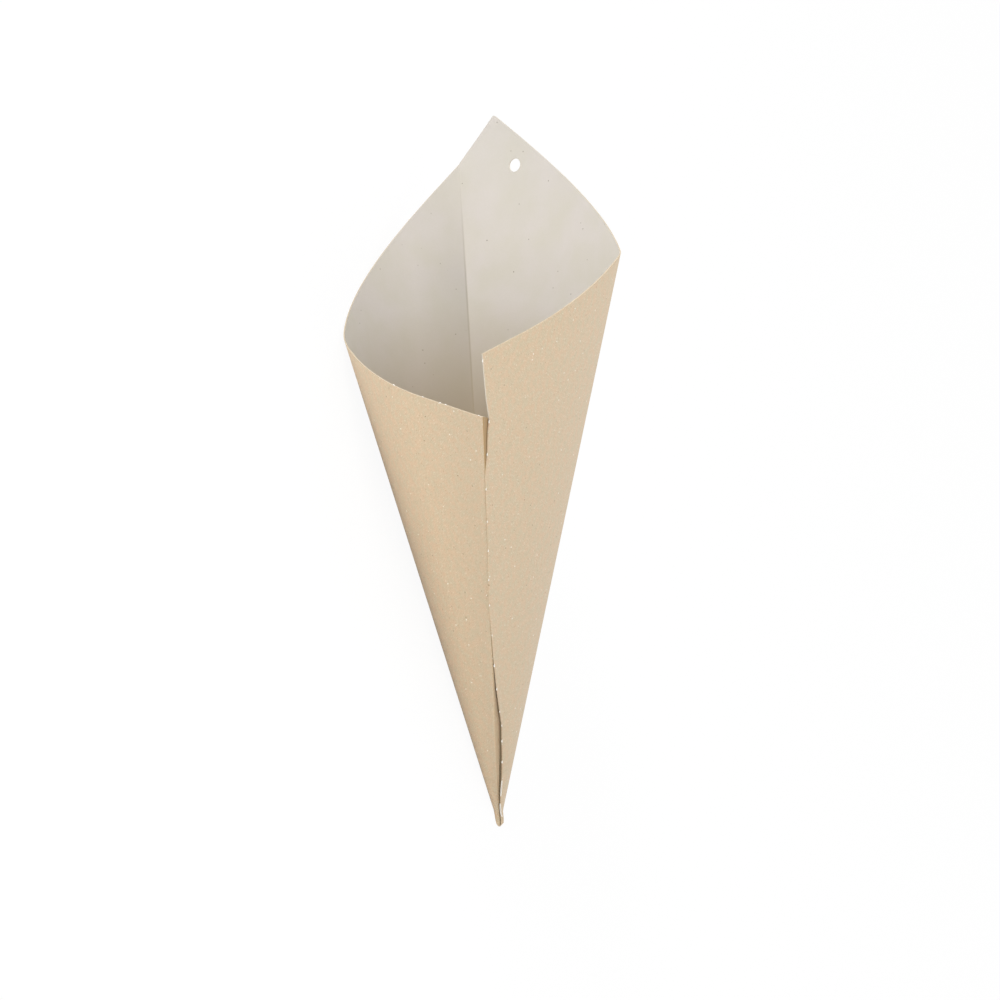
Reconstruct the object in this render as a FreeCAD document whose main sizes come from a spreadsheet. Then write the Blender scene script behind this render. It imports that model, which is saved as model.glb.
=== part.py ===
import FreeCAD, Part
import math
import os

from FreeCAD import Placement, Rotation, Vector

# Cone paper cup: one die-cut sheet of card, folded and glued into a tapered cone that leans back to a peak.
#
# The card is modelled about its tip, with +Z up the middle of the cone, +X to the right and +Y to the back.
# Every straight line from the tip stays straight in the folded card, so the whole wall is given by one
# cross section at a stated distance from the tip, and by the line on the flat card where it was cut.
# Lengths are in millimetres and angles in degrees.

doc = FreeCAD.newDocument("cone_paper_cup")

# Driving dimensions
sheet = doc.addObject("Spreadsheet::Sheet", "sizes")
DIMENSIONS = [
    ("card_thickness", 0.4),
    # cut outline of the card, as distances from the tip
    ("peak_distance", 266.0),
    ("peak_angle", 3.47),
    ("left_corner_distance", 181.0),
    ("right_corner_distance", 206.5),
    ("blunt_tip", 0.5),
    # hanging hole, set out from the peak: towards the tip, and to the right of that line
    ("hole_radius", 2.5),
    ("hole_below_peak", 20.7),
    ("hole_aside", 9.5),
    # glue flap behind the right panel, and the free edge of that panel in front of it
    ("flap_width", 15.0),
    ("flap_slant", 12.0),
    ("edge_gap", 2.2),
    ("edge_gap_below", 22.0),
    ("corner_gap", 0.5),
    # cross section: the back crease, then a flat, three bends and a flat on each side
    ("section_distance", 200.0),
    ("crease_setback", 87.0),
    ("crease_flat", 6.0),
    ("left_start_angle", 33.0),
    ("left_back_radius", 103.0),
    ("left_back_angle", 47.0),
    ("left_side_radius", 39.0),
    ("left_side_angle", 20.0),
    ("left_front_radius", 133.0),
    ("left_front_angle", 28.0),
    ("right_start_angle", 32.0),
    ("right_back_radius", 103.0),
    ("right_back_angle", 48.0),
    ("right_side_radius", 10.0),
    ("right_side_angle", 27.0),
    ("right_front_radius", 269.0),
    ("right_front_angle", 17.5),
]
for row, (alias, value) in enumerate(DIMENSIONS, start=1):
    sheet.set("A%d" % row, alias)
    sheet.set("B%d" % row, str(value))
    sheet.setAlias("B%d" % row, alias)
doc.recompute()


def size(alias):
    """A driving dimension, read back from the sheet."""
    return float(sheet.get(alias))


THICKNESS = size("card_thickness")
SECTION_Z = size("section_distance")
LEFT_CORNER = size("left_corner_distance")
RIGHT_CORNER = size("right_corner_distance")

# A bend is followed in this many steps where it is drawn, and in more where it is unrolled.
DRAWN_STEPS = 10
UNROLLED_STEPS = 40


# Cross section of the wall's outer face

class Run:
    """One stretch of the cross section, straight or an arc that bends inwards.

    side is +1 for the right panel and -1 for the left one. heading is the angle, from square to the
    middle plane, at which the stretch sets off from start. A straight run has no radius.
    """

    def __init__(self, side, start, heading, length=0.0, radius=0.0, turn=0.0):
        self.side = side
        self.start = start
        self.heading = heading
        self.length = length
        self.radius = radius
        self.turn = turn

    def heading_at(self, share):
        return self.heading + share * self.turn

    def point(self, share):
        """The point at a share of the run, in the section plane."""
        if not self.radius:
            return self.start + self.tangent(0) * (share * self.length)
        centre = self.start - self.outward(0) * self.radius
        return centre + self.outward(share) * self.radius

    def tangent(self, share):
        angle = self.heading_at(share)
        return Vector(self.side * math.cos(angle), -math.sin(angle), 0)

    def outward(self, share):
        angle = self.heading_at(share)
        return Vector(self.side * math.sin(angle), math.cos(angle), 0)

    def ray(self, share):
        """Unit vector from the tip through the point at a share of the run."""
        return self.point(share).normalize()

    def normal(self, share):
        """Unit vector square to the card at that point, pointing out of the cup."""
        square = self.tangent(share).cross(self.ray(share)).normalize()
        return square * (1 if square.dot(self.outward(share)) > 0 else -1)

    def spread(self, share):
        """Angle that the run takes up on the flat card, from its start to a share of it."""
        count = UNROLLED_STEPS if self.radius else 1
        rays = [self.ray(share * i / count) for i in range(count + 1)]
        return sum(first.getAngle(second) for first, second in zip(rays, rays[1:]))


def share_at(run, angle):
    """The share of a run at which it has taken up a flat angle, found by halving."""
    low, high = 0.0, 1.0
    for _ in range(40):
        middle = (low + high) / 2
        if run.spread(middle) < angle:
            low = middle
        else:
            high = middle
    return (low + high) / 2


def bent_side(side, name):
    """The flat by the crease and the three bends of one panel."""
    runs = []
    start = Vector(0, size("crease_setback"), SECTION_Z)
    heading = math.radians(size(name + "_start_angle"))
    runs.append(Run(side, start, heading, length=size("crease_flat")))
    for bend in ("back", "side", "front"):
        start = runs[-1].point(1)
        heading = runs[-1].heading_at(1)
        turn = math.radians(size("%s_%s_angle" % (name, bend)))
        runs.append(Run(side, start, heading, radius=size("%s_%s_radius" % (name, bend)), turn=turn))
    return runs


def close_front(right, left):
    """Carry both sides straight on until they cross, which is where the front seam is."""
    to_right, to_left = right[-1].tangent(1), left[-1].tangent(1)
    from_right, from_left = right[-1].point(1), left[-1].point(1)
    gap = from_left - from_right
    turn = to_right.x * to_left.y - to_right.y * to_left.x
    along_right = (gap.x * to_left.y - gap.y * to_left.x) / turn
    along_left = (gap.x * to_right.y - gap.y * to_right.x) / turn
    right.append(Run(1, from_right, right[-1].heading_at(1), length=along_right))
    left.append(Run(-1, from_left, left[-1].heading_at(1), length=along_left))


right_runs = bent_side(1, "right")
left_runs = bent_side(-1, "left")
close_front(right_runs, left_runs)


# Cut outline on the flat card, in polar form about the tip

def on_flat(distance, angle):
    return Vector(distance * math.sin(angle), distance * math.cos(angle), 0)


def cut_line(first, second):
    """Distance from the tip to the straight cut through two points, as a function of the flat angle."""
    direction = (second - first).normalize()
    foot = first - direction * first.dot(direction)
    foot_angle = math.atan2(foot.x, foot.y)
    return lambda angle: foot.Length / math.cos(angle - foot_angle)


right_spread = sum(run.spread(1) for run in right_runs)
left_spread = sum(run.spread(1) for run in left_runs)
peak_angle = math.radians(size("peak_angle"))
peak = on_flat(size("peak_distance"), peak_angle)
left_cut = cut_line(peak, on_flat(LEFT_CORNER, -left_spread))
right_cut = cut_line(peak, on_flat(RIGHT_CORNER, right_spread))


def cut_distance(angle):
    """Distance from the tip to the card's top edge, at a flat angle that is positive to the right."""
    return left_cut(angle) if angle < peak_angle else right_cut(angle)


# Corners along which two flats meet

def corner_offset(first_normal, second_normal, first_depth, second_depth):
    """Where two planes meet that lie so deep under two flats, measured from the flats' own corner."""
    cosine = first_normal.dot(second_normal)
    first_part = (first_normal - second_normal * cosine) * -first_depth
    second_part = (second_normal - first_normal * cosine) * -second_depth
    return (first_part + second_part) * (1 / (1 - cosine * cosine))


def at_height(ray, offset, height):
    """The point at a height above the tip, on the line along ray that is shifted by offset."""
    return ray * ((height - offset.z) / ray.z) + offset


crease_ray = right_runs[0].ray(0)
crease_inside = corner_offset(left_runs[0].normal(0), right_runs[0].normal(0), THICKNESS, THICKNESS)
seam_ray = right_runs[-1].ray(1)
left_normal = left_runs[-1].normal(0)
right_normal = right_runs[-1].normal(0)
fold_outside = corner_offset(left_normal, right_normal, 0, THICKNESS)
fold_inside = corner_offset(left_normal, right_normal, THICKNESS, THICKNESS)
flap_inside = corner_offset(left_normal, right_normal, THICKNESS, 2 * THICKNESS)
free_edge = fold_outside + right_normal * THICKNESS

# The cup is solid up to where its tightest bend has room for the card. Below the height at which the
# fold has its full thickness, the layers are pinched together down to the blunt tip.
ROOM = 1.5
tightest_bend = min(run.radius for run in right_runs + left_runs if run.radius)
shortest_flat = min(right_runs[-1].length, left_runs[-1].length)
CLOSED_Z = ROOM * SECTION_Z * THICKNESS / tightest_bend
PINCHED_Z = ROOM * SECTION_Z * fold_outside.Length / shortest_flat
BLUNT_Z = size("blunt_tip")


# Faces of the wall

def curve(points):
    """A straight edge through two points, or a smooth one through more."""
    if len(points) == 2:
        return Part.makeLine(points[0], points[1])
    steps = [i / (len(points) - 1) for i in range(len(points))]
    line = Part.BSplineCurve()
    line.interpolate(Points=list(points), Parameters=steps)
    return line.toShape()


class Strip:
    """A stretch of one panel between two lines from the tip: its corner points on both faces of the card."""

    def __init__(self, run, first, last, angle_before):
        shares = [first, last]
        if run.radius:
            step = (last - first) / DRAWN_STEPS
            shares = [first + step * i for i in range(DRAWN_STEPS + 1)]
        self.low_out, self.low_in, self.top_out, self.top_in = [], [], [], []
        for share in shares:
            ray = run.ray(share)
            depth = run.normal(share) * -THICKNESS
            angle = run.side * (angle_before + run.spread(share))
            top = ray * cut_distance(angle)
            self.low_out.append(at_height(ray, Vector(), PINCHED_Z))
            self.low_in.append(at_height(ray, depth, CLOSED_Z))
            self.top_out.append(top)
            self.top_in.append(top + depth)

    def faces(self):
        rim = between(self.top_in, self.top_out)
        return [rim] + lengthwise(self.low_out, self.top_out) + lengthwise(self.low_in, self.top_in)


def between(first, second):
    """The ruled face between two rows of points."""
    return Part.makeRuledSurface(curve(first), curve(second))


def ruling(low, top):
    """A straight line up the card, with the point halfway up at which the wall's faces are divided."""
    return [low, (low + top) * 0.5, top]


def lengthwise(low_row, top_row):
    """The face between two rows of points, in a lower and an upper half."""
    low_row, middle_row, top_row = zip(*[ruling(low, top) for low, top in zip(low_row, top_row)])
    return [between(low_row, middle_row), between(middle_row, top_row)]


def polygon(points):
    return Part.Face(Part.makePolygon(points + [points[0]]))


def panel_strips(runs):
    """The strips of one panel, from the crease to the seam, with a break at the peak."""
    strips = []
    before = 0.0
    for run in runs:
        breaks = [0.0, 1.0]
        inside = peak_angle * run.side - before
        if 0 < inside < run.spread(1):
            breaks.insert(1, share_at(run, inside))
        for first, last in zip(breaks, breaks[1:]):
            strips.append(Strip(run, first, last, before))
        before += run.spread(1)
    return strips


right_strips = panel_strips(right_runs)
left_strips = panel_strips(left_runs)

# Both panels share the inside corner of the back crease.
crease_top = crease_ray * cut_distance(0)
for strips in (right_strips, left_strips):
    strips[0].low_in[0] = at_height(crease_ray, crease_inside, CLOSED_Z)
    strips[0].top_in[0] = crease_top + crease_inside

# At the front the right panel's free edge lies over the fold of the left panel.
right_front, left_front = right_strips[-1], left_strips[-1]
right_front.low_out[1] = at_height(seam_ray, free_edge, PINCHED_Z)
right_front.top_out[1] = seam_ray * RIGHT_CORNER + free_edge
right_front.low_in[1] = at_height(seam_ray, fold_inside, CLOSED_Z)
right_front.top_in[1] = seam_ray * RIGHT_CORNER + fold_outside
left_front.low_out[1] = at_height(seam_ray, fold_outside, PINCHED_Z)
left_front.top_out[1] = seam_ray * LEFT_CORNER + fold_outside
left_front.low_in[1] = at_height(seam_ray, fold_inside, CLOSED_Z)
left_front.top_in[1] = seam_ray * LEFT_CORNER + fold_inside

faces = []
for strip in right_strips[:-1] + left_strips:
    faces += strip.faces()
# The right front flat has more corners than a strip, because it ends on the fold.
start_out = ruling(right_front.low_out[0], right_front.top_out[0])
start_in = ruling(right_front.low_in[0], right_front.top_in[0])
fold_out = ruling(left_front.low_out[1], left_front.top_out[1])
fold_in = ruling(left_front.low_in[1], left_front.top_in[1])
edge_low, edge_top = right_front.low_out[1], right_front.top_out[1]
edge_foot = right_front.top_in[1]
faces.append(polygon(start_out + [edge_top, edge_low]))
faces.append(polygon(start_in + [edge_foot, fold_out[-1]] + fold_in[::-1]))
faces.append(polygon([edge_low, edge_top, edge_foot] + fold_out[::-1]))
faces.append(between(right_front.top_in, right_front.top_out))


def cap(rows):
    """A flat face across the cone, inside a closed row of edges."""
    return Part.Face(Part.Wire(Part.__sortEdges__([curve(row) for row in rows])))


all_strips = right_strips + left_strips
low_rows = [strip.low_out for strip in all_strips]
low_rows.append([right_front.low_out[1], left_front.low_out[1]])
tip_rows = [[point * (BLUNT_Z / PINCHED_Z) for point in row] for row in low_rows]
faces += [between(low_row, tip_row) for low_row, tip_row in zip(low_rows, tip_rows)]
faces.append(cap(tip_rows))
faces.append(cap([strip.low_in for strip in all_strips]))

shell = Part.Shell(faces)
shell.sewShape()
wall = Part.Solid(shell)
if wall.Volume < 0:
    wall.reverse()
panels = doc.addObject("Part::Feature", "panels")
panels.Shape = wall


# The right panel's flat at the front, on which the flap and the free edge are set out

aside_ray = seam_ray.cross(right_normal).normalize()


def on_front(along, aside, depth):
    """A point at a distance up the seam, a distance to the right of it, and a depth under the outer face."""
    return seam_ray * along + aside_ray * aside - right_normal * depth


def front_slab(name, outline, depth, thickness):
    """A slab that lies so deep under the front flat, from pairs of distances up and aside of the seam."""
    top = polygon([on_front(along, aside, depth) for along, aside in outline])
    slab = doc.addObject("Part::Feature", name)
    slab.Shape = top.extrude(right_normal * -thickness)
    return slab


# Glue flap: the left panel's margin, folded in and bonded to the back of the right panel. It starts
# inside the left panel's own thickness, narrows to the tip, and its top end slants down from the fold.
fold_aside = (fold_outside.dot(aside_ray) + flap_inside.dot(aside_ray)) / 2
flap_width = size("flap_width")
flap_base = CLOSED_Z / seam_ray.z
flap_reach = LEFT_CORNER - size("flap_slant")
flap = front_slab("glue_flap", [
    (flap_base, fold_aside),
    (LEFT_CORNER, fold_aside),
    (flap_reach, flap_width),
    (flap_base, fold_aside + (flap_width - fold_aside) * flap_base / flap_reach),
], THICKNESS, THICKNESS)

# Sliver taken off the free edge: it stands off the fold beside the top of the flap, and less at its corner.
edge_aside = free_edge.dot(aside_ray)
gap_end = LEFT_CORNER - size("edge_gap_below")
sliver = front_slab("edge_sliver", [
    (RIGHT_CORNER + THICKNESS, edge_aside - THICKNESS),
    (RIGHT_CORNER + THICKNESS, edge_aside + size("corner_gap")),
    (LEFT_CORNER, edge_aside + size("edge_gap")),
    (gap_end, edge_aside),
    (gap_end, edge_aside - THICKNESS),
], -THICKNESS, 2 * THICKNESS)

trimmed = doc.addObject("Part::Cut", "trimmed_panels")
trimmed.Base, trimmed.Tool = panels, sliver
folded = doc.addObject("Part::Fuse", "folded_sheet")
folded.Base, folded.Tool = trimmed, flap


# Hanging hole, punched square through the right panel below the peak. The punch is as long as it is wide,
# and halfway through the card.

def place_on_card(runs, angle):
    """The run, and the share of it, that lie at a flat angle from the crease."""
    before = 0.0
    for run in runs:
        if angle < before + run.spread(1):
            return run, share_at(run, angle - before)
        before += run.spread(1)
    return runs[-1], 1.0


down_card = (peak * -1).normalize()
across_card = Vector(-down_card.y, down_card.x, 0)
hole_on_flat = peak + down_card * size("hole_below_peak") + across_card * size("hole_aside")
hole_run, hole_share = place_on_card(right_runs, math.atan2(hole_on_flat.x, hole_on_flat.y))
hole_normal = hole_run.normal(hole_share)
hole_centre = hole_run.ray(hole_share) * hole_on_flat.Length
punch_start = hole_centre + hole_normal * size("hole_radius")
punch = doc.addObject("Part::Cylinder", "hole_punch")
punch.setExpression("Radius", "sizes.hole_radius")
punch.setExpression("Height", "2 * sizes.hole_radius")
punch.Placement = Placement(punch_start, Rotation(Vector(0, 0, -1), hole_normal))

cup = doc.addObject("Part::Cut", "cup")
cup.Base, cup.Tool = folded, punch
cup.Label = "card_cone"
doc.recompute()


# At rest: the cup lies on its left panel, on the line over which its centre of mass is lowest, with its
# mouth towards -X and its front towards -Y. The origin is below the middle of the cup, on the floor.

mass_centre = cup.Shape.Solids[0].CenterOfMass
REST_STEPS = 90
rest_lines = [(run, i / REST_STEPS) for run in left_runs for i in range(REST_STEPS + 1)]
rest_run, rest_share = min(rest_lines, key=lambda line: -line[0].normal(line[1]).dot(mass_centre))
to_tip = rest_run.ray(rest_share) * -1
upwards = rest_run.normal(rest_share) * -1
turned = Rotation(to_tip, upwards.cross(to_tip), upwards).inverted()
cup.Placement = Placement(Vector(), turned)
box = cup.Shape.optimalBoundingBox()
cup.Placement = Placement(Vector(-box.Center.x, -box.Center.y, 0), turned)
doc.recompute()


# Check and write the cup

for item in doc.Objects:
    if "Invalid" in item.State or "Error" in item.State:
        raise RuntimeError("%s failed: %s" % (item.Name, item.State))
    if hasattr(item, "Shape") and (item.Shape.isNull() or not item.Shape.isValid()):
        raise RuntimeError("%s has no valid shape" % item.Name)
if len(cup.Shape.Solids) != 1:
    raise RuntimeError("the cup is %d solids, not one" % len(cup.Shape.Solids))

os.makedirs("parts", exist_ok=True)
cup.Shape.exportStep("parts/%s.step" % cup.Label)
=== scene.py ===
import math

import bpy
import numpy as np
from mathutils import Matrix


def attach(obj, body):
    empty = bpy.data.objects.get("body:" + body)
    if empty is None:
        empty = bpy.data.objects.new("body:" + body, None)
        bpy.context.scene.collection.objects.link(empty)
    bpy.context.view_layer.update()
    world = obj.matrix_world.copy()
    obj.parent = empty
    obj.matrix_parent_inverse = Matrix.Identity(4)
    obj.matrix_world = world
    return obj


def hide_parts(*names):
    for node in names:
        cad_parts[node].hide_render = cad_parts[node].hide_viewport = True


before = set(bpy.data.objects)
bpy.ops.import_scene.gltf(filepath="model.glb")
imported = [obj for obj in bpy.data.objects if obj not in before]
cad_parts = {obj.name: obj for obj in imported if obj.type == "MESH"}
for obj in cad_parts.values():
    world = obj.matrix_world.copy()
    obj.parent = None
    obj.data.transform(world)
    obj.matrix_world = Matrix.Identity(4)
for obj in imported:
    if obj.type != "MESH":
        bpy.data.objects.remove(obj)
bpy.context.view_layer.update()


# Sheet of folded card
# One die-cut blank of 300 g/m2 board, kraft outside and grey-white inside. It is creased at the back,
# folded at the front left, and glued with that margin behind its right panel. Every straight line from
# the tip stays straight, so each column of the grid is a ray from the tip, shifted by a fixed offset.
MM = 0.001
THICKNESS = 0.4
SECTION_HEIGHT = 200.0
CREASE_SETBACK = 87.0
CREASE_FLAT = 6.0
LEFT_START, LEFT_BENDS = 33.0, ((103.0, 47.0), (39.0, 20.0), (133.0, 28.0))
RIGHT_START, RIGHT_BENDS = 32.0, ((103.0, 48.0), (10.0, 27.0), (269.0, 17.5))
BEND_STEP = 2.0
TIGHT_RADIUS, TIGHT_STEP = 20.0, 1.5


def panel_section(side, start_angle, bends):
    """Points and headings of one panel in the section plane, from the crease to its last bend.

    A flat runs off the crease at the start angle. Each arc then adds its radius times the change in its
    outward direction, which is (side * sin(heading), cos(heading)), so every arc is tangent to the last.
    """
    heading = math.radians(start_angle)
    points = [np.array([[0.0, CREASE_SETBACK]])]
    headings = [np.array([heading])]
    along = np.array([side * math.cos(heading), -math.sin(heading)])
    points.append(points[0] + along * CREASE_FLAT)
    headings.append(np.array([heading]))
    for radius, turn in bends:
        step = TIGHT_STEP if radius < TIGHT_RADIUS else BEND_STEP
        angles = heading + np.radians(np.linspace(0, turn, math.ceil(turn / step) + 1))
        outward = np.stack([side * np.sin(angles), np.cos(angles)], axis=1)
        points.append(points[-1][-1] + radius * (outward - outward[0])[1:])
        headings.append(angles[1:])
        heading = angles[-1]
    return np.concatenate(points), np.concatenate(headings)


def unit(vectors):
    return vectors / np.linalg.norm(vectors, axis=-1, keepdims=True)


def crossing(first, first_heading, second, second_heading):
    """Where the right panel's last tangent crosses the left one's: both lines solved as two equations."""
    to_first = np.array([math.cos(first_heading), -math.sin(first_heading)])
    to_second = np.array([-math.cos(second_heading), -math.sin(second_heading)])
    lengths = np.linalg.solve(np.stack([to_first, -to_second], axis=1), second - first)
    return first + to_first * lengths[0]


def rays_and_normals(side, points, headings):
    """Unit rays from the tip through the section's points, and unit normals that point out of the cup.

    A normal is the cross product of the section's tangent and the ray, turned outwards.
    """
    rays = unit(np.column_stack([points, np.full(len(points), SECTION_HEIGHT)]))
    tangents = np.column_stack([side * np.cos(headings), -np.sin(headings), np.zeros(len(headings))])
    return rays, unit(np.cross(tangents, rays)) * -side


def flat_angles(rays):
    """Angle from the first ray that each ray has on the flat card: the steps between rays, added up."""
    steps = np.arccos(np.clip((rays[1:] * rays[:-1]).sum(axis=1), -1, 1))
    return np.concatenate([[0.0], np.cumsum(steps)])


right_points, right_headings = panel_section(1, RIGHT_START, RIGHT_BENDS)
left_points, left_headings = panel_section(-1, LEFT_START, LEFT_BENDS)
seam_point = crossing(right_points[-1], right_headings[-1], left_points[-1], left_headings[-1])
# The closing flats run to the seam. The left one has columns along it, and the right one is gridded later.
LEFT_FLAT_SHARES = np.array([0.25, 0.5, 0.75])[:, None]
left_flat = left_points[-1] + (seam_point - left_points[-1]) * LEFT_FLAT_SHARES
left_points = np.concatenate([left_points, left_flat, [seam_point]])
left_headings = np.concatenate([left_headings, np.full(len(left_flat) + 1, left_headings[-1])])
right_points = np.concatenate([right_points, [seam_point]])
right_headings = np.concatenate([right_headings, right_headings[-1:]])
right_rays, right_normals = rays_and_normals(1, right_points, right_headings)
left_rays, left_normals = rays_and_normals(-1, left_points, left_headings)
right_angles, left_angles = flat_angles(right_rays), -flat_angles(left_rays)

# Cut outline of the blank, as straight lines on the flat card about the tip. The die rounds the peak.
PEAK_DISTANCE, PEAK_ANGLE = 266.0, math.radians(3.47)
LEFT_CORNER, RIGHT_CORNER = 181.0, 206.5
PEAK_ROUNDING = 0.4
NO_CUT = 1e4


def on_flat(distance, angle):
    return np.stack([distance * np.sin(angle), distance * np.cos(angle)], axis=-1)


def cut_reach(angles, asides):
    """Distance up each column at which the top cut crosses it.

    A column is distance * u + aside * v on the flat card, with u along its ray and v square to it. A cut
    line is n.p = d, so the distance is (d - aside * n.v) / n.u. The two cuts are joined by the soft
    minimum -k log(exp(-first / k) + exp(-second / k)), which rounds the peak.
    """
    peak = on_flat(PEAK_DISTANCE, PEAK_ANGLE)
    u = on_flat(1.0, angles)
    v = np.stack([u[:, 1], -u[:, 0]], axis=1)
    reaches = []
    for corner in (on_flat(LEFT_CORNER, left_angles[-1]), on_flat(RIGHT_CORNER, right_angles[-1])):
        along = unit(corner - peak)
        n = np.array([-along[1], along[0]])
        reach = (n @ peak - asides * (v @ n)) / (u @ n)
        reaches.append(np.where(reach > 0, reach, NO_CUT))
    return -PEAK_ROUNDING * np.logaddexp(-reaches[0] / PEAK_ROUNDING, -reaches[1] / PEAK_ROUNDING)


# Crease and fold: small arcs of a fixed radius, which shrink with the cone near the tip.
CREASE_RADIUS, FOLD_RADIUS = 0.9, 0.5
CREASE_BEAD = 0.1
CORNER_STEPS = 8
SHRINK_BELOW = 60.0
LEAST_INSIDE = 0.02


def corner_columns(first_normal, second_normal):
    """Directions across a rounded corner, where its arc's centre lies per unit of radius, and half its turn.

    With b the outward bisector of the two normals and e square to it, the directions are
    b cos(a) + e sin(a) from one normal to the other. The centre is b * -radius / cos(half turn).
    """
    bisector = unit(first_normal + second_normal)
    across = unit(second_normal - first_normal)
    half = math.acos(float(bisector @ first_normal))
    angles = np.linspace(-half, half, CORNER_STEPS + 1)[:, None]
    directions = bisector * np.cos(angles) + across * np.sin(angles)
    return directions, -bisector / math.cos(half), half


# Free edge of the right panel: how far it stands off the seam's line to the right, at distances from the
# tip. It is cut a little crooked, gapes beside the flap's top, and has sprung open over the lowest part.
EDGE_DISTANCES = [0, 4, 12, 22, 30, 40, 46, 52, 63, 75, 88, 102, 115, 127, 157, 165, 170, 176, 177.5, 183,
                  188, 196, 202, 207]
EDGE_ASIDES = [0.1, 0.9, 1.0, 2.35, 2.75, 2.95, 3.3, 2.5, 1.4, 0.65, 0.1, -0.65, -0.45, -0.1, 0.0, 1.45,
               1.95, 2.6, 3.45, 2.8, 2.05, 1.5, 1.05, 0.7]
EDGE_LIFTS = ((0, 0.0), (12, 0.35), (40, 0.7), (75, 0.2), (100, 0.0), (207, 0.0))
FLAP_WIDTH, FLAP_SLANT = 15.0, 12.0
GLUE_FILM = 0.05


EDGE_SMOOTHING, EDGE_SAMPLES = 1.0, 7


def smooth_profile(distances, knots, values):
    """Piecewise linear through the knots, then averaged over a window of a millimetre either side."""
    offsets = np.linspace(-EDGE_SMOOTHING, EDGE_SMOOTHING, EDGE_SAMPLES)
    return np.mean([np.interp(distances + offset, knots, values) for offset in offsets], axis=0)


seam_ray = right_rays[-1]
right_normal, left_normal = right_normals[-1], left_normals[-1]
aside_ray = unit(np.cross(seam_ray, right_normal))


def corner_offset(first, second, first_depth, second_depth):
    """Where two planes meet that lie so deep under two flats, measured from the flats' own corner."""
    cosine = first @ second
    first_part = (first - second * cosine) * -first_depth
    second_part = (second - first * cosine) * -second_depth
    return (first_part + second_part) / (1 - cosine * cosine)


fold_outside = corner_offset(left_normal, right_normal, 0, THICKNESS + GLUE_FILM)

ROWS = 150
ROW_SHARES = np.linspace(0, 1, ROWS + 1)[:, None, None]
TIP_DISTANCE = 0.66
PINCH_BELOW, PINCHED_SHARE = 14.0, 0.03


def grow(distance):
    """Size of a corner's arc at a distance up the card: full size, less below 60 mm in proportion."""
    return np.clip(distance / SHRINK_BELOW, 0.0, 1.0)


def thin(distance):
    """Share of the card's thickness: near the tip the layers are pinched together, in proportion."""
    return np.clip(distance / PINCH_BELOW, PINCHED_SHARE, 1.0)


def straight_columns(rays, normals, angles):
    """Outer and inner faces along plain rays: distance * ray, and the same less the thickness."""
    reach = cut_reach(angles, np.zeros(len(angles)))[None, :, None]
    distance = TIP_DISTANCE + (reach - TIP_DISTANCE) * ROW_SHARES
    outer = distance * rays
    inner = outer - normals * THICKNESS * thin(distance)
    flat = distance * on_flat(1.0, angles)[None]
    return outer, inner, flat


def bent_columns(ray, base, normals, angle, radius, reach, bead=0.0):
    """Outer and inner faces round a corner: distance * ray + base + centre + radius * direction."""
    directions, centre, half = corner_columns(*normals)
    distance = np.broadcast_to(TIP_DISTANCE + (reach - TIP_DISTANCE) * ROW_SHARES,
                               (ROWS + 1, CORNER_STEPS + 1, 1))
    outside = radius * grow(distance)
    depth = THICKNESS * thin(distance)
    inside = np.maximum(outside - depth, LEAST_INSIDE * thin(distance))
    shift = base * thin(distance)
    outer = distance * ray + shift + centre * outside + directions * outside
    swell = np.cos(np.linspace(-1, 1, CORNER_STEPS + 1) * math.pi / 2)[None, :, None] ** 2
    inner = distance * ray + shift + centre * (inside + depth) + directions * inside
    inner = inner - directions * (bead * grow(distance) * swell)
    asides = np.linspace(-1, 1, CORNER_STEPS + 1) * half * radius
    u = on_flat(1.0, angle)
    v = np.array([u[1], -u[0]])
    flat = distance * u + asides[None, :, None] * v
    return outer, inner, flat


# Flap: the margin beyond the fold, which turns in behind the right panel with its kraft face outwards. It
# sinks away beside the two stretches where the free edge stands off it, so it lies in shade there.
FLAP_COLUMNS = 10
DIP_DISTANCES = [0, 6, 20, 40, 60, 78, 95, 150, 162, 172, 181]
DIP_DEPTHS = [0.0, 0.1, 0.25, 0.3, 0.25, 0.1, 0.0, 0.0, 0.1, 0.2, 0.25]
DIP_WIDTH = 0.8
flap_spread = (np.linspace(1.0, 1 / FLAP_COLUMNS, FLAP_COLUMNS) ** 2)[None, :]
fold_half = math.acos(float(unit(left_normal + right_normal) @ right_normal))
fold_tangent = FOLD_RADIUS * math.tan(fold_half)
flap_top = LEFT_CORNER - FLAP_SLANT * flap_spread
flap_along = TIP_DISTANCE + (flap_top - TIP_DISTANCE) * ROW_SHARES[:, :, 0]
flap_near = fold_tangent * grow(flap_along)
flap_far = flap_along * FLAP_WIDTH / (LEFT_CORNER - FLAP_SLANT)
flap_aside = (flap_near + (flap_far - flap_near) * flap_spread)[..., None]
flap_along = flap_along[..., None]
flap_dip = np.interp(flap_along, DIP_DISTANCES, DIP_DEPTHS)
flap_dip = flap_dip * (1 - np.exp(-np.maximum(flap_aside - flap_near[..., None], 0) / DIP_WIDTH))
flap_sink = (THICKNESS + GLUE_FILM) * thin(flap_along) + flap_dip
flap_outer = flap_along * seam_ray + flap_aside * aside_ray - right_normal * flap_sink
flap_inner = flap_outer - right_normal * THICKNESS * thin(flap_along)
flap_u = on_flat(1.0, left_angles[-1])
flap_flat = flap_along * flap_u + flap_aside * np.array([-flap_u[1], flap_u[0]])

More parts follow.
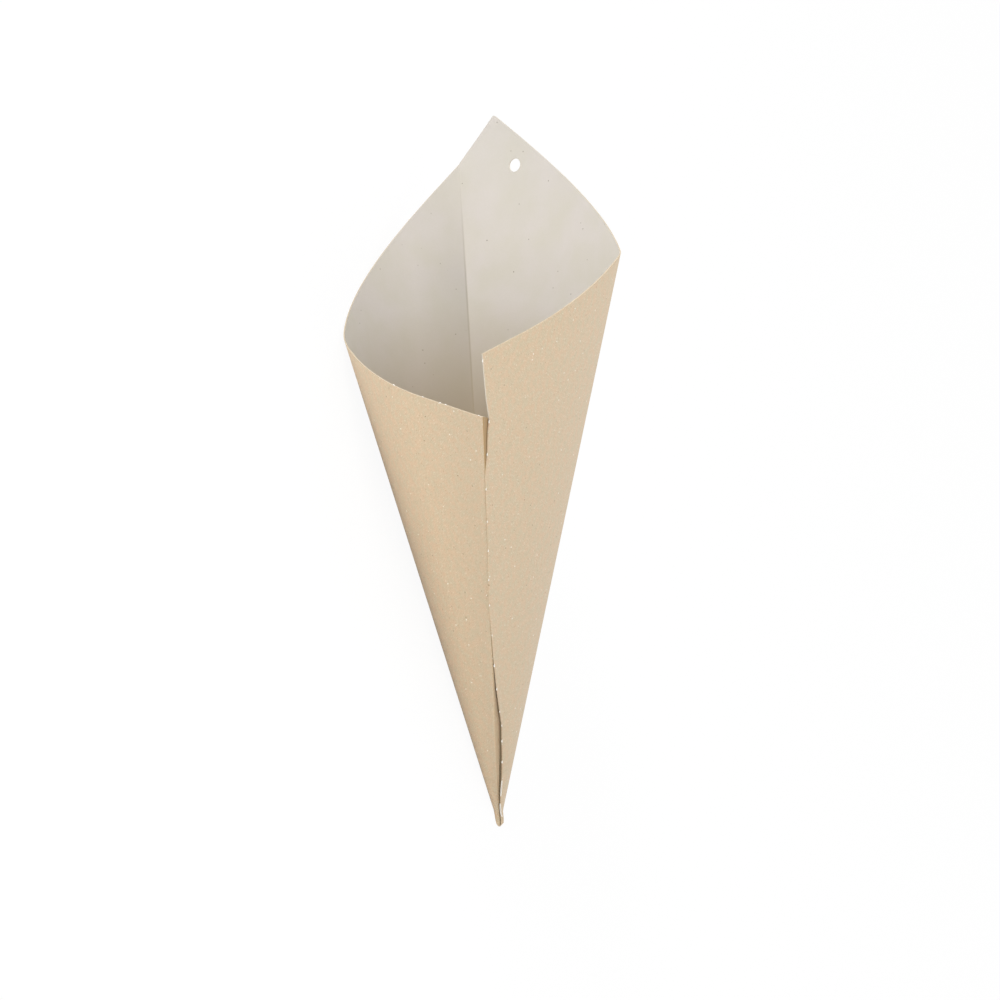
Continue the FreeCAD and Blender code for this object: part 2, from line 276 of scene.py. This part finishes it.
fold = bent_columns(seam_ray, fold_outside, (right_normal, left_normal), left_angles[-1], FOLD_RADIUS,
                    LEFT_CORNER)
left = straight_columns(left_rays[-2:0:-1], left_normals[-2:0:-1], left_angles[-2:0:-1])
crease_half = math.acos(float(unit(left_normals[0] + right_normals[0]) @ left_normals[0]))
crease_asides = np.linspace(-1, 1, CORNER_STEPS + 1) * crease_half * CREASE_RADIUS
crease_top = cut_reach(np.zeros(CORNER_STEPS + 1), crease_asides)[None, :, None]
crease = bent_columns(left_rays[0], np.zeros(3), (left_normals[0], right_normals[0]), 0.0, CREASE_RADIUS,
                      crease_top, CREASE_BEAD)
# More columns either side of the peak follow its rounding.
PEAK_COLUMNS = np.radians([-0.6, -0.3, -0.15, 0.0, 0.15, 0.3, 0.6]) + PEAK_ANGLE
right_all = np.sort(np.concatenate([right_angles[1:-1], PEAK_COLUMNS]))
right_all_rays, right_all_normals = [
    unit(np.stack([np.interp(right_all, right_angles, vectors[:, i]) for i in range(3)], axis=1))
    for vectors in (right_rays, right_normals)]
right = straight_columns(right_all_rays, right_all_normals, right_all)

# Right front flat: straight across from the last bend's column to the crooked free edge, where its columns
# are closest together.
EDGE_COLUMNS = (1 - np.linspace(1, 0, 13)[1:] ** 1.5)[None, :, None]
edge_distance = TIP_DISTANCE + (RIGHT_CORNER - TIP_DISTANCE) * ROW_SHARES[:, :, 0]
edge_aside = smooth_profile(edge_distance, EDGE_DISTANCES, EDGE_ASIDES)[..., None]
edge_lift = np.interp(edge_distance, *zip(*EDGE_LIFTS))[..., None]
edge_outer = edge_distance[..., None] * seam_ray + edge_aside * aside_ray
last_outer, last_inner, last_flat = [part[:, -1:] for part in right]
spring = (EDGE_COLUMNS ** 3) * edge_lift * right_normal
front_outer = last_outer + (edge_outer - last_outer) * EDGE_COLUMNS + spring
front_inner = front_outer - right_normal * THICKNESS * thin(edge_distance)[..., None]
u_edge = on_flat(1.0, right_angles[-1])
edge_flat = edge_distance[..., None] * u_edge + edge_aside * np.array([-u_edge[1], u_edge[0]])
front_flat = last_flat + (edge_flat - last_flat) * EDGE_COLUMNS

# Pinched tip: the cone's half width per mm of height, and the blunt end's width, foot and lean to the front.
NIB_SLOPE, NIB_WIDTH, NIB_FOOT, NIB_FORWARD = 0.265, 3.3, 2.2, 0.6
NIB_MIDDLE = np.array([-0.045, -0.02])


def squeezed(points):
    """The tip's last few millimetres, where the layers are pinched into a blunt, wider end.

    Where the cone is narrower than the blunt end, each point is moved out from its middle line, in
    proportion, so that the width is kept down to the foot and then narrows to the point. From front to back
    it grows a third as much, and it leans a little to the front.
    """
    height = np.maximum(points[..., 2:], 1e-6)
    natural = NIB_SLOPE * height
    wanted = NIB_WIDTH / 2 * np.minimum(height / NIB_FOOT, 1)
    factor = np.clip(wanted / natural, 1, None)
    middle = height * NIB_MIDDLE
    aside = points[..., :1] - middle[..., :1]
    deep = points[..., 1:2] - middle[..., 1:2]
    forward = NIB_FORWARD * (factor - 1) * np.minimum(height / NIB_FOOT, 1)
    return np.concatenate([middle[..., :1] + aside * factor,
                           middle[..., 1:2] + deep * (2 + factor) / 3 - forward, points[..., 2:]], axis=-1)


flap, front = (flap_outer, flap_inner, flap_flat), (front_outer, front_inner, front_flat)
parts = (flap, fold, left, crease, right, front)
outer_grid, inner_grid, flat_grid = [np.concatenate([part[i] for part in parts], axis=1) for i in range(3)]
outer_grid, inner_grid = squeezed(outer_grid), squeezed(inner_grid)

# At rest the cup lies on its left panel, along the line over which its weight is lowest. The world's axes
# are then set by that line's ray and normal, and the tip touches the floor at the place given here.
REST_BEND_SHARE = 68 / 90
TIP_PLACE = np.array([125.772, 6.450, 0.0])
rest_heading = math.radians(LEFT_START + LEFT_BENDS[0][1] * REST_BEND_SHARE)
bend_turn = math.radians(LEFT_START)
bend_start = np.array([-math.cos(bend_turn), -math.sin(bend_turn)]) * CREASE_FLAT
bend_start = bend_start + np.array([0.0, CREASE_SETBACK])
rest_outward = np.array([-math.sin(rest_heading), math.cos(rest_heading)])
start_outward = np.array([-math.sin(math.radians(LEFT_START)), math.cos(math.radians(LEFT_START))])
rest_point = bend_start + LEFT_BENDS[0][0] * (rest_outward - start_outward)
rest_rays, rest_normals = rays_and_normals(-1, rest_point[None], np.array([rest_heading]))
world_x, world_z = -rest_rays[0], -rest_normals[0]
to_world = np.stack([world_x, np.cross(world_z, world_x), world_z])


def place(points):
    """From the cup's upright frame, tip at the origin, in mm, to the frame of the cup at rest, in metres."""
    return (points @ to_world.T + TIP_PLACE) * MM


def on_floor(points):
    """Placed points, with the pinched end pressed flat where it meets the floor."""
    placed = place(points)
    placed[..., 2] = np.maximum(placed[..., 2], 0.0)
    return placed


def closed_sheet(outer, inner):
    """Vertices and quads of a sheet between two grids: both faces, and a wall along each of its four edges.

    The outer grid's quads run one way round and the inner grid's the other, and each edge wall joins the
    same edge of both, so all faces point out of the card.
    """
    rows, columns = outer.shape[:2]
    index = np.arange(rows * columns).reshape(rows, columns)
    under = index + rows * columns
    a, b, c, d = index[:-1, :-1], index[:-1, 1:], index[1:, 1:], index[1:, :-1]
    quads = [np.stack([a, d, c, b], axis=-1).reshape(-1, 4)]
    quads.append(np.stack([a, b, c, d], axis=-1).reshape(-1, 4) + rows * columns)
    for top, low in ((index[-1], under[-1]), (index[0, ::-1], under[0, ::-1]),
                     (index[::-1, -1], under[::-1, -1]), (index[:, 0], under[:, 0])):
        quads.append(np.stack([top[:-1], low[:-1], low[1:], top[1:]], axis=-1))
    counts = [len(part) for part in quads]
    vertices = np.concatenate([outer.reshape(-1, 3), inner.reshape(-1, 3)])
    return vertices, np.concatenate(quads), counts


def mesh_object(name, vertices, faces):
    """A mesh object at the origin from whole arrays of vertices and of faces with equal corner counts."""
    mesh = bpy.data.meshes.new(name)
    mesh.from_pydata(vertices.tolist(), [], faces.tolist())
    mesh.update()
    made = bpy.data.objects.new(name, mesh)
    bpy.context.scene.collection.objects.link(made)
    return made


sheet_vertices, sheet_faces, sheet_counts = closed_sheet(on_floor(outer_grid), on_floor(inner_grid))
cup = mesh_object("card_sheet", sheet_vertices, sheet_faces)
flat_mm = np.concatenate([flat_grid.reshape(-1, 2)] * 2)
flat_map = cup.data.uv_layers.new(name="card_mm")
flat_map.data.foreach_set("uv", flat_mm[sheet_faces.ravel()].ravel())
cup.data.polygons.foreach_set("use_smooth", np.ones(len(sheet_faces), dtype=bool))
SHARP_ANGLE = math.radians(40)
cup.data.set_sharp_from_angle(angle=SHARP_ANGLE)


def linear(hex_code):
    """sRGB hex to linear colour: c / 12.92 up to 0.04045, and ((c + 0.055) / 1.055) ** 2.4 above."""
    channels = np.array([int(hex_code[i:i + 2], 16) / 255 for i in (1, 3, 5)])
    lit = np.where(channels <= 0.04045, channels / 12.92, ((channels + 0.055) / 1.055) ** 2.4)
    return (*lit.tolist(), 1.0)


def add(tree, kind, inputs=None, **settings):
    """One node with its settings. An input takes a plain value, or another node's socket to be linked."""
    made = tree.nodes.new(kind)
    for name, value in settings.items():
        setattr(made, name, value)
    for key, value in (inputs or {}).items():
        if isinstance(value, bpy.types.NodeSocket):
            tree.links.new(value, made.inputs[key])
        else:
            made.inputs[key].default_value = value
    return made


def new_material(name):
    """An empty material with its node tree and a Principled shader wired to the output."""
    material = bpy.data.materials.new(name)
    material.use_nodes = True
    tree = material.node_tree
    tree.nodes.clear()
    shader = add(tree, "ShaderNodeBsdfPrincipled")
    add(tree, "ShaderNodeOutputMaterial", {"Surface": shader.outputs["BSDF"]})
    return material, tree, shader


def card_place(tree, turn, per_mm):
    """Place on the flat card, turned and scaled: per_mm gives the pattern's steps along and across."""
    uv = add(tree, "ShaderNodeUVMap", uv_map="card_mm")
    return add(tree, "ShaderNodeMapping", {"Vector": uv.outputs[0], "Rotation": (0, 0, math.radians(turn)),
                                           "Scale": (per_mm[0], per_mm[1], 1)},
               vector_type="POINT").outputs[0]


def band(tree, value, low, high, low_out=0.0, high_out=1.0):
    """A value ramped from low to high, and held beyond both."""
    return add(tree, "ShaderNodeMapRange", {"Value": value, "From Min": low, "From Max": high,
                                            "To Min": low_out, "To Max": high_out}).outputs["Result"]


def blend_colour(tree, share, first, second):
    made = add(tree, "ShaderNodeMix", data_type="RGBA")
    for socket, value in ((made.inputs[0], share), (made.inputs[6], first), (made.inputs[7], second)):
        if isinstance(value, bpy.types.NodeSocket):
            tree.links.new(value, socket)
        else:
            socket.default_value = value
    return made.outputs[2]


def sum_of(tree, first, second, operation="ADD"):
    return add(tree, "ShaderNodeMath", {0: first, 1: second}, operation=operation).outputs[0]


# Kraft liner: unbleached recycled pulp, uncoated and calendered dry. Matt and pale brown, clouded between
# pinkish and greyish at 3 to 5 mm, with a fine grain and short fibres that lie all ways.
kraft, tree, shader = new_material("kraft_liner")
noise = add(tree, "ShaderNodeTexNoise", {"Vector": card_place(tree, 0, (0.32, 0.32)), "Scale": 1.0,
                                         "Detail": 3.0, "Roughness": 0.6})
colour = blend_colour(tree, band(tree, noise.outputs[0], 0.4, 0.6), linear("#DEC3A2"), linear("#D4C5A6"))
grain = add(tree, "ShaderNodeTexNoise", {"Vector": card_place(tree, 10, (1.7, 1.5)), "Scale": 1.0,
                                         "Detail": 4.0, "Roughness": 0.75})
colour = blend_colour(tree, band(tree, grain.outputs[0], 0.3, 0.7, 0.0, 0.55), colour, linear("#C9AC87"))
height = grain.outputs[0]
FIBRES = ((15, 0.6, 3.6, "#F6EEDF", 0.3), (75, 0.55, 3.4, "#F6EEDF", 0.28), (-40, 0.6, 3.8, "#B5946A", 0.28),
          (-80, 0.55, 3.4, "#B5946A", 0.25), (50, 0.5, 3.0, "#C0A178", 0.28),
          (-15, 0.6, 3.4, "#F2E8D6", 0.28))
for turn, along, across, tint, strength in FIBRES:
    streak = add(tree, "ShaderNodeTexNoise", {"Vector": card_place(tree, turn, (along, across)),
                                              "Scale": 1.0,
                                              "Detail": 1.0, "Roughness": 0.4})
    share = band(tree, streak.outputs[0], 0.6, 0.74, 0.0, strength)
    colour = blend_colour(tree, share, colour, linear(tint))
    height = sum_of(tree, height, share)
# Flecks in some cells of a loose grid: bleached slivers up to 1 mm long, and brown bits of bark.
FLECKS = ((25, (6.0, 4.2), 0.075, 0.84, "#FFFCF2", 0.8), (-50, (5.0, 3.5), 0.07, 0.5, "#FFFAEE", 0.35),
          (30, (5.5, 5.5), 0.055, 0.82, "#85603A", 0.8), (70, (4.0, 4.0), 0.07, 0.5, "#A07242", 0.4))
for turn, cell, radius, chosen, tint, strength in FLECKS:
    speck = add(tree, "ShaderNodeTexVoronoi", {"Vector": card_place(tree, turn, (1 / cell[0], 1 / cell[1])),
                                               "Scale": 1.0, "Randomness": 1.0}, voronoi_dimensions="2D")
    near = band(tree, speck.outputs["Distance"], radius * 0.6, radius, strength, 0.0)
    picked = add(tree, "ShaderNodeSeparateColor", {"Color": speck.outputs["Color"]}).outputs[0]
    share = sum_of(tree, near, band(tree, picked, chosen, chosen + 0.1), "MULTIPLY")
    colour = blend_colour(tree, share, colour, linear(tint))
# Painted shade: a little darker down the right panel to the tip, beside the fold, and on the flap in its
# slot.
uv = add(tree, "ShaderNodeUVMap", uv_map="card_mm").outputs[0]
reach = add(tree, "ShaderNodeVectorMath", {0: uv}, operation="LENGTH").outputs["Value"]
fold_across = (math.cos(left_angles[-1]), -math.sin(left_angles[-1]), 0.0)
beside = add(tree, "ShaderNodeVectorMath", {0: uv, 1: fold_across}, operation="DOT_PRODUCT").outputs["Value"]
turned = sum_of(tree, add(tree, "ShaderNodeSeparateXYZ", {"Vector": uv}).outputs["X"], reach, "DIVIDE")
# Painted shade: darker towards the tip, on the right panel.
down = sum_of(tree, band(tree, reach, 200, 20, 0.0, 0.22), band(tree, turned, -0.5, 0.0), "MULTIPLY")
colour = blend_colour(tree, down, colour, linear("#A1927C"))
# Painted shade: darker on the left panel beside the fold.
near_fold = band(tree, sum_of(tree, beside, reach, "DIVIDE"), 0.05, 0.22, 0.2, 0.0)
colour = blend_colour(tree, near_fold, colour, linear("#A1927C"))
# Painted shade: browner on the flap, where it shows in the slot between the fold and the free edge.
painted_slot_shade = sum_of(tree, band(tree, beside, 0.15, -0.1), band(tree, reach, 80, 150, 0.4, 0.9), "MULTIPLY")
colour = blend_colour(tree, painted_slot_shade, colour, linear("#A98858"))
bump = add(tree, "ShaderNodeBump", {"Height": height, "Strength": 0.2, "Distance": 0.00004})
tree.links.new(colour, shader.inputs["Base Color"])
tree.links.new(bump.outputs[0], shader.inputs["Normal"])
shader.inputs["Roughness"].default_value = 0.88
shader.inputs["IOR"].default_value = 1.45
shader.inputs["Sheen Weight"].default_value = 0.25
shader.inputs["Sheen Roughness"].default_value = 0.5

# Inner liner: grey-white recycled pulp, smoother than the kraft, with broad faint clouds and few specks.
# Painted shade: greyer at the peak and left of the crease, browner deep in the cup, a fine dark line on the
# crease.
lining, tree, shader = new_material("grey_white_liner")
noise = add(tree, "ShaderNodeTexNoise", {"Vector": card_place(tree, 0, (0.06, 0.06)), "Scale": 1.0,
                                         "Detail": 3.0, "Roughness": 0.55})
colour = blend_colour(tree, band(tree, noise.outputs[0], 0.35, 0.65), linear("#C8C3B8"), linear("#CCC6C0"))
grain = add(tree, "ShaderNodeTexNoise", {"Vector": card_place(tree, 10, (1.2, 1.2)), "Scale": 1.0,
                                         "Detail": 3.0, "Roughness": 0.6})
colour = blend_colour(tree, band(tree, grain.outputs[0], 0.3, 0.7, 0.0, 0.2), colour, linear("#C0B9AE"))
for turn, cell, radius, chosen in ((20, 9.0, 0.03, 0.75), (-35, 17.0, 0.02, 0.6)):
    speck = add(tree, "ShaderNodeTexVoronoi", {"Vector": card_place(tree, turn, (1 / cell, 1 / cell)),
                                               "Scale": 1.0, "Randomness": 1.0}, voronoi_dimensions="2D")
    near = band(tree, speck.outputs["Distance"], radius * 0.5, radius, 0.75, 0.0)
    picked = add(tree, "ShaderNodeSeparateColor", {"Color": speck.outputs["Color"]}).outputs[0]
    share = sum_of(tree, near, band(tree, picked, chosen, chosen + 0.1), "MULTIPLY")
    colour = blend_colour(tree, share, colour, linear("#6F6450"))
uv = add(tree, "ShaderNodeUVMap", uv_map="card_mm").outputs[0]
aside = add(tree, "ShaderNodeSeparateXYZ", {"Vector": uv}).outputs["X"]
reach = add(tree, "ShaderNodeVectorMath", {0: uv}, operation="LENGTH").outputs["Value"]
# Painted shade: greyer towards the peak.
colour = blend_colour(tree, band(tree, reach, 216, 262, 0.0, 0.31), colour, linear("#949089"))
# Painted shade: greyer on the left of the crease, more so further down.
greyer = sum_of(tree, band(tree, aside, -24, -0.5), band(tree, aside, -0.3, 0.3, 1.0, 0.0), "MULTIPLY")
greyer = sum_of(tree, greyer, band(tree, reach, 242, 206, 0.0, 0.33), "MULTIPLY")
colour = blend_colour(tree, greyer, colour, linear("#949089"))
# Painted shade: a fine dark line along the crease, stronger further down.
dark = sum_of(tree, band(tree, aside, -1.0, -0.5), band(tree, aside, 0.1, 0.5, 1.0, 0.0), "MULTIPLY")
dark = sum_of(tree, dark, band(tree, reach, 238, 200, 0.05, 0.35), "MULTIPLY")
colour = blend_colour(tree, dark, colour, linear("#8C8069"))
# Painted shade: browner deeper in the cup, reaching highest along the crease.
apart = add(tree, "ShaderNodeMath", {0: aside}, operation="ABSOLUTE").outputs[0]
apart = sum_of(tree, apart, 0.16, "MULTIPLY")
deep = band(tree, sum_of(tree, reach, apart), 198, 140, 0.0, 1.0)
colour = blend_colour(tree, deep, colour, linear("#A39379"))
bump = add(tree, "ShaderNodeBump", {"Height": grain.outputs[0], "Strength": 0.15, "Distance": 0.00003})
tree.links.new(colour, shader.inputs["Base Color"])
tree.links.new(bump.outputs[0], shader.inputs["Normal"])
shader.inputs["Roughness"].default_value = 0.75
shader.inputs["IOR"].default_value = 1.45

# Cut edges: the board's core, laid open by the die. It is pale and furred with short fibres on the free edge,
# and round the mouth and on the other cut edges a darker, kraft-brown copy of the same core is painted shade.
cut_edges = []
for name, first, second in (("cut_core_painted_shade", "#B2A38B", "#BEB099"), ("board_core", "#CEC4B2", "#DCD4C6")):
    core, tree, shader = new_material(name)
    noise = add(tree, "ShaderNodeTexNoise", {"Vector": card_place(tree, 0, (1.5, 1.5)), "Scale": 1.0,
                                             "Detail": 3.0, "Roughness": 0.7})
    colour = blend_colour(tree, band(tree, noise.outputs[0], 0.35, 0.65), linear(first), linear(second))
    tree.links.new(colour, shader.inputs["Base Color"])
    shader.inputs["Roughness"].default_value = 0.9
    shader.inputs["IOR"].default_value = 1.45
    cut_edges.append(core)

# Pulled fibre: bleached pulp from the board's core, whiter than the cut around it and quite matt.
pulp, tree, shader = new_material("pulp_fibre")
shader.inputs["Base Color"].default_value = linear("#F4F0E8")
shader.inputs["Roughness"].default_value = 0.95
shader.inputs["IOR"].default_value = 1.45

for material in (kraft, lining, *cut_edges):
    cup.data.materials.append(material)
# The edge walls take the darker copy of the core, which is painted shade; the free edge is set apart below.
slots = np.repeat([0, 1, 2, 2, 2, 2], sheet_counts)
# The free edge is furred above the flap. Beside it, it is rubbed down and shows the kraft liner's colour.
edge_first = sum(sheet_counts[:4])
edge_middles = (edge_distance[1:, 0] + edge_distance[:-1, 0])[::-1] / 2
slots[edge_first:edge_first + ROWS] = np.where(edge_middles < 177, 0, 3)
cup.data.polygons.foreach_set("material_index", slots.astype(np.int32))
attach(cup, "root")
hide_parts("card_cone")


# Punched hole
# A clean 5 mm hole through the right panel, below and to the right of the peak, made by a steel punch.
HOLE_RADIUS, HOLE_BELOW_PEAK, HOLE_ASIDE = 2.5, 20.7, 9.5
peak_flat = on_flat(PEAK_DISTANCE, PEAK_ANGLE)
down_card = -peak_flat / PEAK_DISTANCE
hole_flat = peak_flat + down_card * HOLE_BELOW_PEAK + np.array([-down_card[1], down_card[0]]) * HOLE_ASIDE
hole_angle = math.atan2(hole_flat[0], hole_flat[1])
hole_ray = unit(np.array([np.interp(hole_angle, right_angles, right_rays[:, i]) for i in range(3)]))
hole_normal = unit(np.array([np.interp(hole_angle, right_angles, right_normals[:, i]) for i in range(3)]))
hole_centre = hole_ray * math.hypot(*hole_flat)
HOLE_SIDES = 48
turns = np.linspace(0, 2 * math.pi, HOLE_SIDES, endpoint=False)[:, None]
hole_across = unit(np.cross(hole_normal, hole_ray))
ring = hole_centre + HOLE_RADIUS * (np.cos(turns) * hole_ray + np.sin(turns) * hole_across)
punch_vertices = place(np.concatenate([ring + hole_normal * 2, ring - hole_normal * 2]))
top_ring = np.arange(HOLE_SIDES)
low_ring = top_ring + HOLE_SIDES
punch_sides = np.stack([top_ring, low_ring, np.roll(low_ring, -1), np.roll(top_ring, -1)], axis=1)
punch_mesh = bpy.data.meshes.new("punch")
punch_mesh.from_pydata(punch_vertices.tolist(), [],
                       punch_sides.tolist() + [top_ring.tolist(), low_ring[::-1].tolist()])
punch_mesh.materials.append(core)
punch = bpy.data.objects.new("punch", punch_mesh)
bpy.context.scene.collection.objects.link(punch)
cutter = cup.modifiers.new("punched_hole", "BOOLEAN")
cutter.operation, cutter.solver, cutter.object = "DIFFERENCE", "EXACT", punch
cutter.material_mode = "TRANSFER"
bpy.context.view_layer.update()
punched = bpy.data.meshes.new_from_object(cup.evaluated_get(bpy.context.evaluated_depsgraph_get()))
cup.modifiers.clear()
cup.data = punched
cup.data.set_sharp_from_angle(angle=SHARP_ANGLE)
bpy.data.objects.remove(punch)


# Frayed nicks
# White pulp fibres that the die has pulled out of the cut edges: small burrs along the free edge and the
# left rim, thin tubes tapered to both ends, and two loops of the split edge beside the tip.
TUBE_SIDES = 8
NICK_DISTANCES = (203.8, 177.7, 165.3, 151.6, 137.9, 125.5, 113.2, 102.2, 88.5, 74.7, 63.7, 52.8, 45.9, 39.0,
                  29.4)
RIM_NICK_ANGLES = (-41.0, -46.3, -49.2, -50.1, -55.6, -6.2, -20.5)
rng = np.random.default_rng(5)


def tube(path, radii, up, closed=False):
    """A tube of rings about a path, which may be closed on itself.

    Each ring is c + r (cos(a) s + sin(a) w), with s and w square to the path. An open tube gets end caps.
    """
    step = np.roll(path, -1, axis=0) - np.roll(path, 1, axis=0) if closed else np.gradient(path, axis=0)
    ahead = unit(step)
    side = unit(np.cross(ahead, up))
    over = np.cross(ahead, side)
    turn = np.linspace(0, 2 * math.pi, TUBE_SIDES, endpoint=False)[None, :, None]
    spokes = np.cos(turn) * side[:, None] + np.sin(turn) * over[:, None]
    rings = path[:, None] + radii[:, None, None] * spokes
    first = np.arange(len(path) * TUBE_SIDES).reshape(len(path), TUBE_SIDES)
    beside = np.roll(first, -1, axis=1)
    quads = np.stack([first, beside, np.roll(beside, -1, axis=0), np.roll(first, -1, axis=0)], axis=-1)
    if closed:
        return rings.reshape(-1, 3), quads.reshape(-1, 4).tolist()
    faces = quads[:-1].reshape(-1, 4).tolist()
    return rings.reshape(-1, 3), faces + [first[0, ::-1].tolist(), first[-1].tolist()]


def burr(base, along, out, up, length, stand, radius):
    """Path base + along * t + out * stand * sin(pi s), with s from 0 to 1 and t over the length."""
    s = np.linspace(0, 1, 9)[:, None]
    path = base + along * (s - 0.5) * length + out * stand * np.sin(math.pi * s) + up * 0.05
    return tube(path, radius * (0.15 + 0.85 * np.sin(math.pi * s[:, 0])), up)


def edge_place(distance, off=0.0):
    """A point on the free edge's outer corner, so far from the tip and so far off the edge to the left."""
    aside = np.interp(distance, edge_distance[:, 0], edge_aside[:, 0, 0])
    lift = np.interp(distance, edge_distance[:, 0], edge_lift[:, 0, 0])
    return distance * seam_ray + (aside - off) * aside_ray + lift * right_normal


tufts = []
for distance in NICK_DISTANCES:
    size = rng.uniform(0.8, 1.25)
    tufts.append(burr(edge_place(distance), seam_ray, -aside_ray, right_normal, 1.2 * size, 0.35 * size,
                      0.2 * size))
rim_outer, rim_inner = outer_grid[-1, FLAP_COLUMNS:], inner_grid[-1, FLAP_COLUMNS:]
rim_angles = np.degrees(np.arctan2(*flat_grid[-1, FLAP_COLUMNS:].T))
for angle in RIM_NICK_ANGLES:
    size = rng.uniform(0.7, 1.1)
    base, ahead = [np.array([np.interp(angle + more, rim_angles, rim_outer[:, i]) for i in range(3)])
                   for more in (0.0, 0.5)]
    along = unit(ahead - base)
    face = unit(np.array([np.interp(angle, rim_angles, (rim_outer - rim_inner)[:, i]) for i in range(3)]))
    out = unit(np.cross(along, face))
    out = out * np.sign(out @ unit(base))
    tufts.append(burr(base - face * 0.15, along, out, face, 1.3 * size, 0.25 * size, 0.16 * size))
# Each loop's lowest and highest distance from the tip, and how far off the edge it lies at both.
LOOPS = ((14.4, 21.2, 0.35, 0.3), (4.8, 11.2, -0.1, 0.55))
LOOP_RADIUS, LOOP_HALF_WIDTH, LOOP_LIFT = 0.11, 0.27, 0.1
for low, high, low_aside, high_aside in LOOPS:
    s = np.linspace(0, 2 * math.pi, 33)[:-1, None]
    middle_distance, half_length = (low + high) / 2, (high - low) / 2
    off = (low_aside + high_aside) / 2 + (high_aside - low_aside) / 2 * np.cos(s)
    off = off + LOOP_HALF_WIDTH * np.sin(s)
    loop = np.concatenate([edge_place(middle_distance + half_length * math.cos(v), o)[None] for v, o in
                           zip(s[:, 0], off[:, 0])]) + right_normal * LOOP_LIFT
    tufts.append(tube(loop, np.full(len(loop), LOOP_RADIUS), right_normal, closed=True))
start, tuft_vertices, tuft_faces = 0, [], []
for vertices, faces in tufts:
    tuft_vertices.append(squeezed(vertices))
    tuft_faces += [[index + start for index in face] for face in faces]
    start += len(vertices)
fray_mesh = bpy.data.meshes.new("cut_edge_fibres")
fray_mesh.from_pydata(on_floor(np.concatenate(tuft_vertices)).tolist(), [], tuft_faces)
fray_mesh.polygons.foreach_set("use_smooth", np.ones(len(tuft_faces), dtype=bool))
fray = bpy.data.objects.new("cut_edge_fibres", fray_mesh)
bpy.context.scene.collection.objects.link(fray)
fray_mesh.materials.append(pulp)
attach(fray, "root")


# Floor, light and camera
# A plain white floor that runs to the horizon and keeps a faint shadow. Soft studio light comes from a
# panel past the cup's mouth, a weaker one on its right side, and all round from the room. The camera looks
# down on the lying cup, rolled so that the cup stands upright in the picture.
FLOOR_REACH = 6.0
corners = np.array([[-1, -1, 0], [1, -1, 0], [1, 1, 0], [-1, 1, 0]]) * FLOOR_REACH
floor = mesh_object("floor", corners, np.array([[0, 1, 2, 3]]))
paper, tree, shader = new_material("white_floor")
shader.inputs["Base Color"].default_value = linear("#F8F8F8")
shader.inputs["Roughness"].default_value = 0.9
path = add(tree, "ShaderNodeLightPath")
seen = sum_of(tree, path.outputs["Is Camera Ray"], path.outputs["Is Glossy Ray"], "MAXIMUM")
seen = sum_of(tree, seen, path.outputs["Is Transmission Ray"], "MAXIMUM")
glow = add(tree, "ShaderNodeEmission", {"Color": (1, 1, 1, 1), "Strength": 1.0})
WHITE_SHARE = 0.94
shown = add(tree, "ShaderNodeMixShader", {0: sum_of(tree, seen, WHITE_SHARE, "MULTIPLY"),
                                          1: shader.outputs[0], 2: glow.outputs[0]})
tree.links.new(shown.outputs[0], tree.nodes["Material Output"].inputs["Surface"])
floor.data.materials.append(paper)

world = bpy.data.worlds.new("studio")
bpy.context.scene.world = world
world.use_nodes = True
tree = world.node_tree
tree.nodes.clear()
path = add(tree, "ShaderNodeLightPath")
seen = sum_of(tree, path.outputs["Is Camera Ray"], path.outputs["Is Glossy Ray"], "MAXIMUM")
seen = sum_of(tree, seen, path.outputs["Is Transmission Ray"], "MAXIMUM")
ROOM_LIGHT = 0.82
room = add(tree, "ShaderNodeBackground", {"Color": (1, 1, 1, 1), "Strength": ROOM_LIGHT})
white = add(tree, "ShaderNodeBackground", {"Color": (1, 1, 1, 1), "Strength": 1.0})
mixed = add(tree, "ShaderNodeMixShader", {0: seen, 1: room.outputs[0], 2: white.outputs[0]})
add(tree, "ShaderNodeOutputWorld", {"Surface": mixed.outputs[0]})

# Camera, in the cup's upright frame in mm: its eye, and the yaw, pitch and roll of its view.
CAMERA_EYE = np.array([-35.17, -1389.53, 426.61])
CAMERA_FORWARD = unit(np.array([0.02897731, 0.97629967, -0.2144744]))
CAMERA_UP = unit(np.array([0.055479, 0.21266291, 0.97554937]))
SENSOR, FOCAL_SHARE = 36.0, 3.99902


def aimed(eye, forward, up):
    """World matrix of a camera or lamp, which looks along its own -Z with +Y up, from the upright frame."""
    forward, up = to_world @ forward, to_world @ up
    right = np.cross(forward, up)
    matrix = np.eye(4)
    matrix[:3, 0], matrix[:3, 1], matrix[:3, 2] = right, unit(np.cross(right, forward)), -forward
    matrix[:3, 3] = place(eye)
    return Matrix(matrix.tolist())


camera_data = bpy.data.cameras.new("camera")
camera_data.sensor_width = SENSOR
camera_data.lens = SENSOR * FOCAL_SHARE
camera_data.clip_end = 100
camera = bpy.data.objects.new("camera", camera_data)
bpy.context.scene.collection.objects.link(camera)
camera.matrix_world = aimed(CAMERA_EYE, CAMERA_FORWARD, CAMERA_UP)
bpy.context.scene.camera = camera


def soft_panel(name, eye, target, side, power):
    """A square area lamp at a place in the upright frame, aimed at a point there."""
    lamp = bpy.data.lights.new(name, "AREA")
    lamp.shape = "SQUARE"
    lamp.size = side
    lamp.energy = power
    panel = bpy.data.objects.new(name, lamp)
    bpy.context.scene.collection.objects.link(panel)
    forward = unit(np.array(target) - np.array(eye))
    panel.matrix_world = aimed(np.array(eye), forward, np.array([0.0, 0.0, 1.0]))


CUP_MIDDLE = (0.0, 0.0, 130.0)
PANEL_SIDE, TOP_POWER, SIDE_POWER = 0.8, 13.6, 6.0
soft_panel("top_panel", (0, -300, 1500), CUP_MIDDLE, PANEL_SIDE, TOP_POWER)
soft_panel("side_panel", (900, -1500, 0), CUP_MIDDLE, PANEL_SIDE, SIDE_POWER)

bpy.context.scene.view_settings.view_transform = "Standard"
